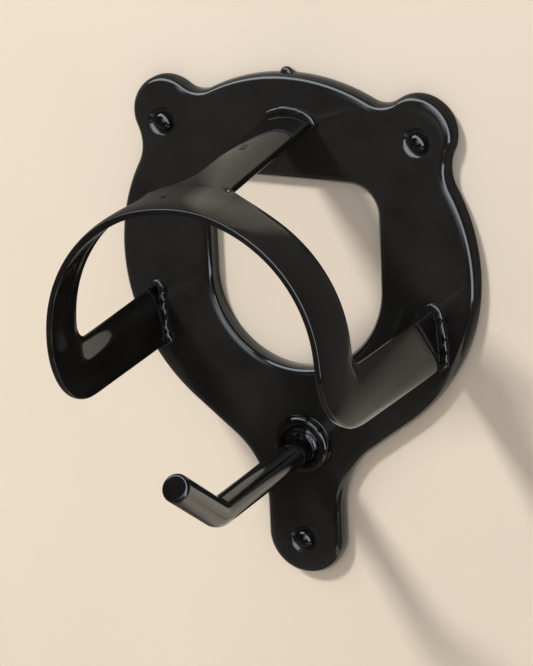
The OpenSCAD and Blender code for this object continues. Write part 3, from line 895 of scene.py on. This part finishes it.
def buildStage():
    # the wall is open behind the plate's own sheet, so that its hollow back can be seen
    behind = plate["sheet"] / 2
    outline = [p + n * behind for p, n in wholeLoop(outlineHalf())]
    opening = [p + n * behind for p, n in wholeLoop(openingHalf())]
    width, top, low = stage["halfWidth"], stage["top"], stage["floor"] + stage["cove"]
    border = [Vector((-width, low)), Vector((width, low)), Vector((width, top)), Vector((-width, top))]
    def onWall(p):
        return not insideLoop(p, outline) or insideLoop(p, opening)
    wall = fillFlat([border, outline, opening], onWall, 0)
    cove = [(stage["cove"] * (1 - turned(a)[0]), stage["floor"] + stage["cove"] * (1 - turned(a)[1]))
            for a in range(0, 91, 6)]
    rows = cove + [(stage["depth"], stage["floor"])]
    floor = sweepOpen([[place(x, up, out) for x in (-width, width)] for out, up in rows])
    return joinParts([wall, floor])


def sweepOpen(rows):
    vertices = [v for row in rows for v in row]
    n = len(rows[0])
    return vertices, [(r * n + i, r * n + i + 1, (r + 1) * n + i + 1, (r + 1) * n + i)
                      for r in range(len(rows) - 1) for i in range(n - 1)]


def facingFront(piece):
    for polygon in piece.data.polygons:
        if polygon.normal.y > 0.01 or polygon.normal.z < -0.01:
            polygon.flip()
    return piece


backdrop = facingFront(makeObject("backdrop", *buildStage()))
backdrop.data.materials.append(stageMaterial())

# Light: a soft key from the upper left, and a cool soft box bent round the plate's mirror direction

camera = {
    "azimuth": 27.089, "elevation": 18.642, "roll": -2.548, "distance": 1166.88 * mm,
    "target": Vector((-16.107, 0, -30.703)) * mm, "focalPixels": 3000, "pixelsHigh": 666, "sensor": 36,
}
ahead, lifted = turned(camera["elevation"])
toCamera = Vector((turned(camera["azimuth"])[1] * ahead, -turned(camera["azimuth"])[0] * ahead, lifted))
mirrored = Vector((-toCamera.x, toCamera.y, -toCamera.z))


def addCamera():
    right = Vector((*turned(camera["azimuth"]), 0))
    up = toCamera.cross(right)
    cosine, sine = turned(camera["roll"])
    axes = (cosine * right + sine * up, -sine * right + cosine * up, toCamera)
    data = bpy.data.cameras.new("camera")
    data.lens = camera["focalPixels"] / camera["pixelsHigh"] * camera["sensor"]
    data.sensor_width = camera["sensor"]
    holder = bpy.data.objects.new("camera", data)
    spot = Matrix.Translation(camera["target"] + toCamera * camera["distance"])
    holder.matrix_world = spot @ Matrix(axes).transposed().to_4x4()
    bpy.context.scene.collection.objects.link(holder)
    bpy.context.scene.camera = holder


keyLamp = {"place": (-0.8, -1.25, 1.15), "size": 0.3, "power": 27, "color": (1.0, 0.965, 0.91)}


def addKeyLamp():
    data = bpy.data.lights.new("key", "AREA")
    data.shape = "DISK"
    data.size = keyLamp["size"]
    data.energy = keyLamp["power"]
    data.color = keyLamp["color"]
    lamp = bpy.data.objects.new("key", data)
    lamp.location = keyLamp["place"]
    lamp.rotation_euler = (-Vector(keyLamp["place"])).to_track_quat("-Z", "Y").to_euler()
    lamp.visible_glossy = False
    bpy.context.scene.collection.objects.link(lamp)


softBox = {
    "distance": 1.9, "from": -50, "to": 140, "columns": 60, "strength": 6.0, "color": (0.84, 0.91, 1.0),
    "glow": [(26, 0.0), (38, 0.14), (50, 0.32), (62, 0.6), (68, 0.8), (73, 1.0), (88, 1.0), (93, 0.0)],
    "innerFrom": 0, "innerTo": 78, "fade": 25, "wholeFrom": 70,
}


def addSoftBox():
    # a bent sheet of light, seen only in reflections and dimmed towards the plate's mirror direction
    side = mirrored.cross(Vector((0, 0, 1))).normalized() * -1
    side = side if side.x > 0 else -side
    top = mirrored.cross(side).normalized()
    top = top if top.z > 0 else -top
    rows, glows = [], []
    for k in range(softBox["columns"] + 1):
        around = softBox["from"] + (softBox["to"] - softBox["from"]) * k / softBox["columns"]
        outward = side * turned(around)[0] + top * turned(around)[1]
        within = (ease((around - softBox["innerFrom"]) / softBox["fade"])
                  * ease((softBox["innerTo"] - around) / softBox["fade"]))
        row = [mirrored * turned(a)[0] + outward * turned(a)[1] for a, glow in softBox["glow"]]
        rows.append([softBox["distance"] * point for point in row])
        glows += [glow if a > softBox["wholeFrom"] else glow * within for a, glow in softBox["glow"]]
    box = makeObject("softBox", *sweepOpen(rows))
    box.data.attributes.new("glow", "FLOAT", "POINT").data.foreach_set("value", glows)
    material = bpy.data.materials.new("softBoxLight")
    material.use_nodes = True
    tree = material.node_tree
    tree.nodes.clear()
    light = addNode(tree, "ShaderNodeEmission", Color=(*softBox["color"], 1))
    level = addNode(tree, "ShaderNodeAttribute", attribute_name="glow").outputs["Fac"]
    tree.links.new(mathNode(tree, "MULTIPLY", level, softBox["strength"]), light.inputs["Strength"])
    tree.links.new(light.outputs["Emission"], addNode(tree, "ShaderNodeOutputMaterial").inputs["Surface"])
    box.data.materials.append(material)
    box.visible_camera = box.visible_diffuse = box.visible_shadow = box.visible_transmission = False


surround = {"diffuse": (0.5, 0.49, 0.48), "glossy": (0.04, 0.04, 0.039), "seen": (0.8, 0.77, 0.72)}


def addWorld():
    world = bpy.data.worlds.new("paleSurround")
    bpy.context.scene.world = world
    world.use_nodes = True
    tree = world.node_tree
    shader = tree.nodes["Background"]
    path = addNode(tree, "ShaderNodeLightPath")
    glossy = addNode(tree, "ShaderNodeMix", data_type="RGBA")
    glossy.inputs[6].default_value = (*surround["diffuse"], 1)
    glossy.inputs[7].default_value = (*surround["glossy"], 1)
    tree.links.new(path.outputs["Is Glossy Ray"], glossy.inputs[0])
    seen = addNode(tree, "ShaderNodeMix", data_type="RGBA")
    seen.inputs[7].default_value = (*surround["seen"], 1)
    tree.links.new(path.outputs["Is Camera Ray"], seen.inputs[0])
    tree.links.new(glossy.outputs[2], seen.inputs[6])
    tree.links.new(seen.outputs[2], shader.inputs["Color"])


addCamera()
addKeyLamp()
addSoftBox()
addWorld()
bpy.context.scene.view_settings.view_transform = "Standard"
print("stage and light made")
